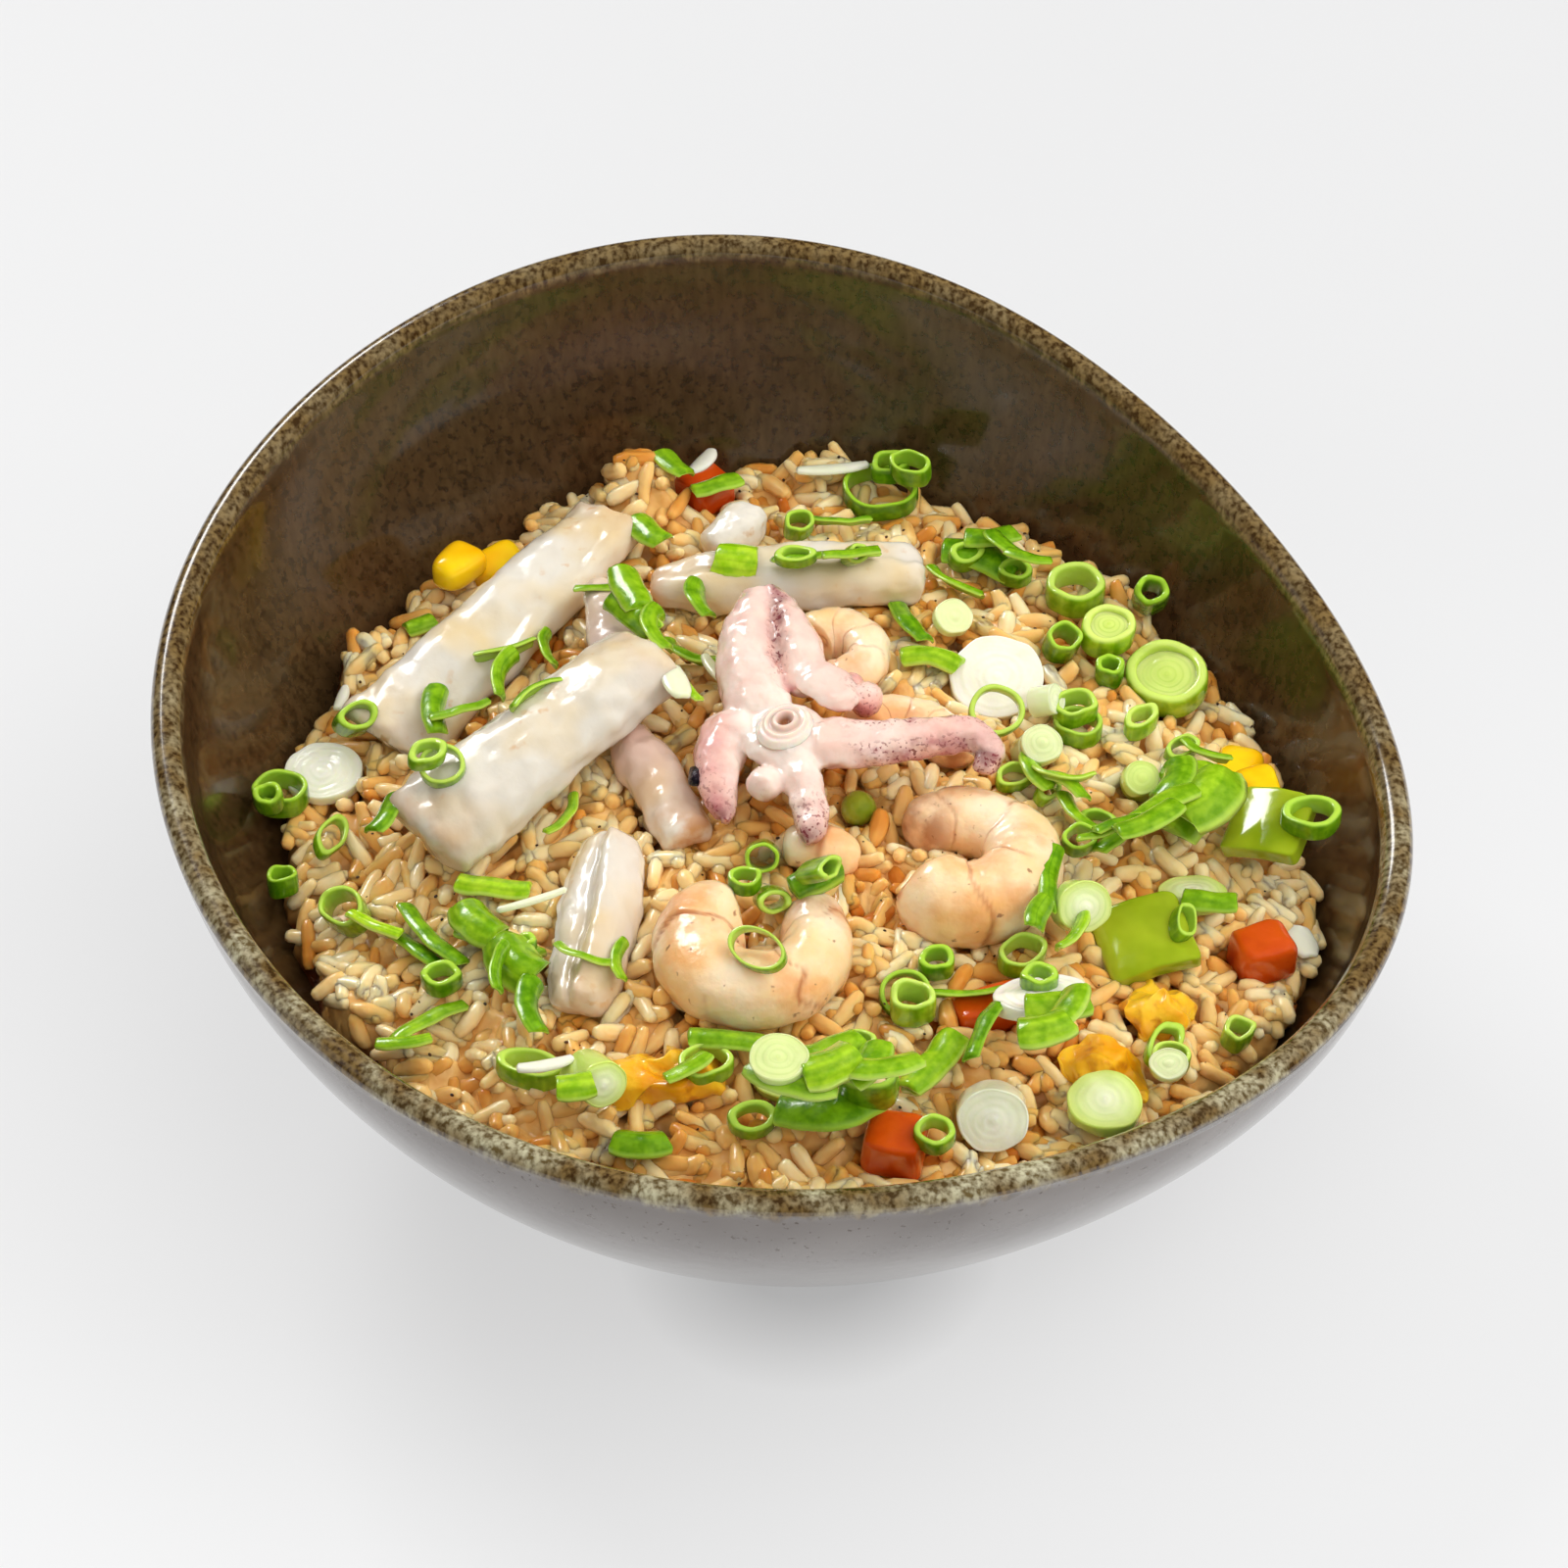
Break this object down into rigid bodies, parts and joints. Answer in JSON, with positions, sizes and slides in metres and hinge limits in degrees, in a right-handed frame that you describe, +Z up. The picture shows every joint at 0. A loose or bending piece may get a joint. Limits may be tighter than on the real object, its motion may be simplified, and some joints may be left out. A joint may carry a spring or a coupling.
{
  "type": "bowl of seafood fried rice",
  "caption": "Seafood fried rice with squid, shrimp, egg, vegetables and spring onion in a slanted-rim stoneware bowl.",
  "frame": {"origin": "centre of the bowl's flat foot, on its underside", "axes": "+Z up, +X to the diner's right, +Y away from the diner, towards the high side of the rim"},
  "size_m": [0.2055, 0.198, 0.0981],
  "materials": {
    "stoneware": "glossy reactive glaze, dark speckled brown inside, grey-lilac outside, mottled olive on the rim",
    "cooked_rice": "moist fried rice grains, pale beige to amber",
    "squid": "cooked squid, wet off-white with browned edges",
    "tentacle": "cooked tentacles, wet pink and white with purple specks",
    "shrimp": "cooked shrimp, wet pale orange with browned seams",
    "corn": "smooth glossy kernel",
    "green_pepper": "smooth wet skin",
    "carrot": "cooked and diced, moist",
    "pea": "cooked, slightly wrinkled",
    "egg": "scrambled egg, ragged and moist",
    "onion_white": "wet cut spring onion white",
    "onion_green": "wet cut spring onion green"
  },
  "bodies": {
    "root": {"bowl": "stoneware", "rice": "cooked_rice", "squid_back_left": "squid", "squid_between": "squid", "squid_pink": "squid", "squid_tapered": "squid", "squid_rolled": "squid", "squid_right_back": "squid", "squid_stub": "squid", "squid_front_left": "squid", "tentacles": "tentacle", "shrimp_front": "shrimp", "shrimp_right": "shrimp", "shrimp_middle": "shrimp", "shrimp_back": "shrimp", "shrimp_tail": "shrimp", "corn_back_1": "corn", "corn_back_2": "corn", "corn_right_1": "corn", "corn_right_2": "corn", "pepper_right": "green_pepper", "pepper_front": "green_pepper", "carrot_right": "carrot", "carrot_front": "carrot", "carrot_middle": "carrot", "carrot_back": "carrot", "pea_middle": "pea", "pea_right": "pea", "egg_front": "egg", "egg_right_1": "egg", "egg_right_2": "egg", "white_slice_large": "onion_white", "white_slice_left": "onion_white", "white_slice_front_1": "onion_white", "white_slice_front_2": "onion_white", "white_slice_right_1": "onion_white", "white_slice_right_2": "onion_white", "white_slice_front_3": "onion_white", "white_slice_front_4": "onion_white", "white_tube_front": "onion_white", "white_tube_right": "onion_white", "green_ring_wide": "onion_green", "green_ring_beside": "onion_green", "green_ring_back": "onion_green", "green_ring_wall": "onion_green", "green_ring_on_slice": "onion_green", "green_ring_on_shrimp": "onion_green", "green_ring_on_squid": "onion_green", "green_ring_middle": "onion_green", "green_ring_right": "onion_green", "green_leaf_right": "onion_green", "green_strip_right": "onion_green", "green_leaf_front": "onion_green", "green_strip_front": "onion_green", "green_leaf_back": "onion_green", "green_strip_on_squid": "onion_green", "green_strip_on_back": "onion_green", "green_strip_left_1": "onion_green", "green_strip_left_2": "onion_green", "green_tube_front": "onion_green"}
  },
  "joints": []
}
